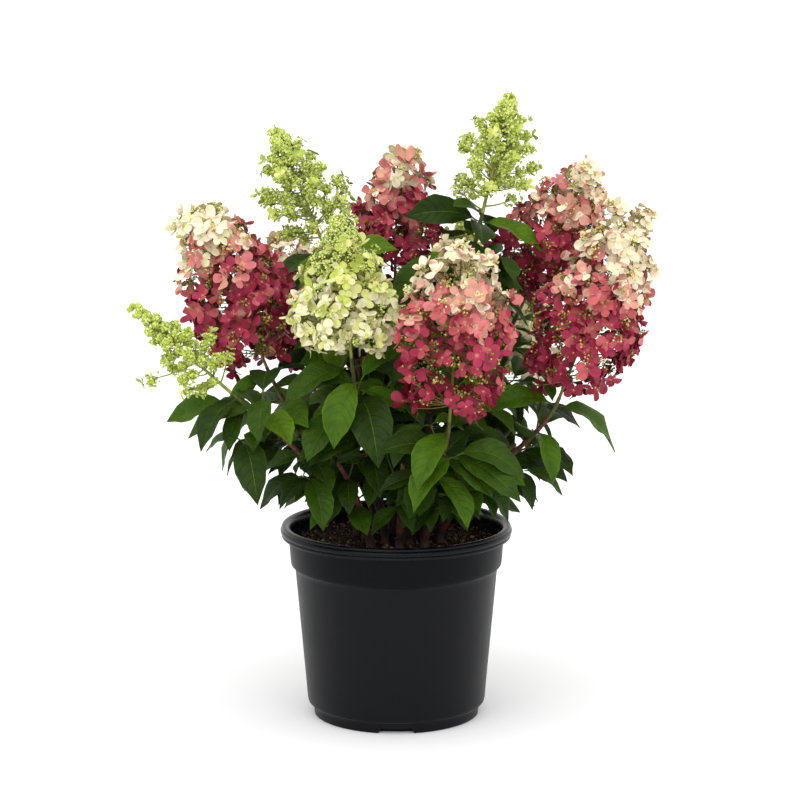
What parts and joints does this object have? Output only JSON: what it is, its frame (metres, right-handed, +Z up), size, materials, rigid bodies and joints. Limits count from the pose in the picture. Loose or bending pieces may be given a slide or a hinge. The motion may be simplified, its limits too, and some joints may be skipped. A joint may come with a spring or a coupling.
{
  "type": "potted panicle hydrangea",
  "caption": "Flowering shrub in a tapered nursery pot: bare canes rise from the potting mix into leafy shoots that end in cone-shaped heads of blossom or green buds.",
  "frame": {"origin": "centre of the pot's flat underside, on the ground", "axes": "+Z up through the plant, -Y towards the side that the picture shows, +X to the right of that view"},
  "size_m": [0.5995, 0.5084, 0.7532],
  "materials": {
    "pot_plastic": "satin black moulded plastic",
    "potting_mix": "dark moist bark and peat mix",
    "cane_bark": "smooth reddish-brown young bark",
    "leaf_green": "deep green leaves with paler veins",
    "blossom_cream": "lime and cream sepals",
    "blossom_rose": "rose sepals, cream at the tip and crimson below",
    "bud_green": "yellow-green flower buds"
  },
  "bodies": {
    "root": {"blossom_back": "blossom_rose", "blossom_back_left": "blossom_rose", "blossom_back_right": "blossom_cream", "blossom_front_left": "blossom_cream", "blossom_front_right": "blossom_rose", "blossom_left": "blossom_rose", "blossom_rear_low": "blossom_rose", "blossom_right": "blossom_rose", "blossom_right_rear": "blossom_rose", "buds_far_left": "bud_green", "buds_rear": "bud_green", "buds_tall_left": "bud_green", "buds_tall_right": "bud_green", "cane_back": "cane_bark", "cane_back_left": "cane_bark", "cane_back_right": "cane_bark", "cane_far_left": "cane_bark", "cane_front_left": "cane_bark", "cane_front_right": "cane_bark", "cane_left": "cane_bark", "cane_rear": "cane_bark", "cane_rear_low": "cane_bark", "cane_right": "cane_bark", "cane_right_rear": "cane_bark", "cane_tall_left": "cane_bark", "cane_tall_right": "cane_bark", "leaves_back": "leaf_green", "leaves_back_left": "leaf_green", "leaves_back_right": "leaf_green", "leaves_far_left": "leaf_green", "leaves_front_left": "leaf_green", "leaves_front_right": "leaf_green", "leaves_left": "leaf_green", "leaves_low_back_left": "leaf_green", "leaves_low_back_right": "leaf_green", "leaves_low_front": "leaf_green", "leaves_low_front_right": "leaf_green", "leaves_low_left": "leaf_green", "leaves_low_middle": "leaf_green", "leaves_low_right": "leaf_green", "leaves_low_right_front": "leaf_green", "leaves_rear": "leaf_green", "leaves_rear_low": "leaf_green", "leaves_right": "leaf_green", "leaves_right_rear": "leaf_green", "leaves_tall_left": "leaf_green", "leaves_tall_right": "leaf_green", "pot": "pot_plastic", "potting_mix": "potting_mix"}
  },
  "joints": []
}
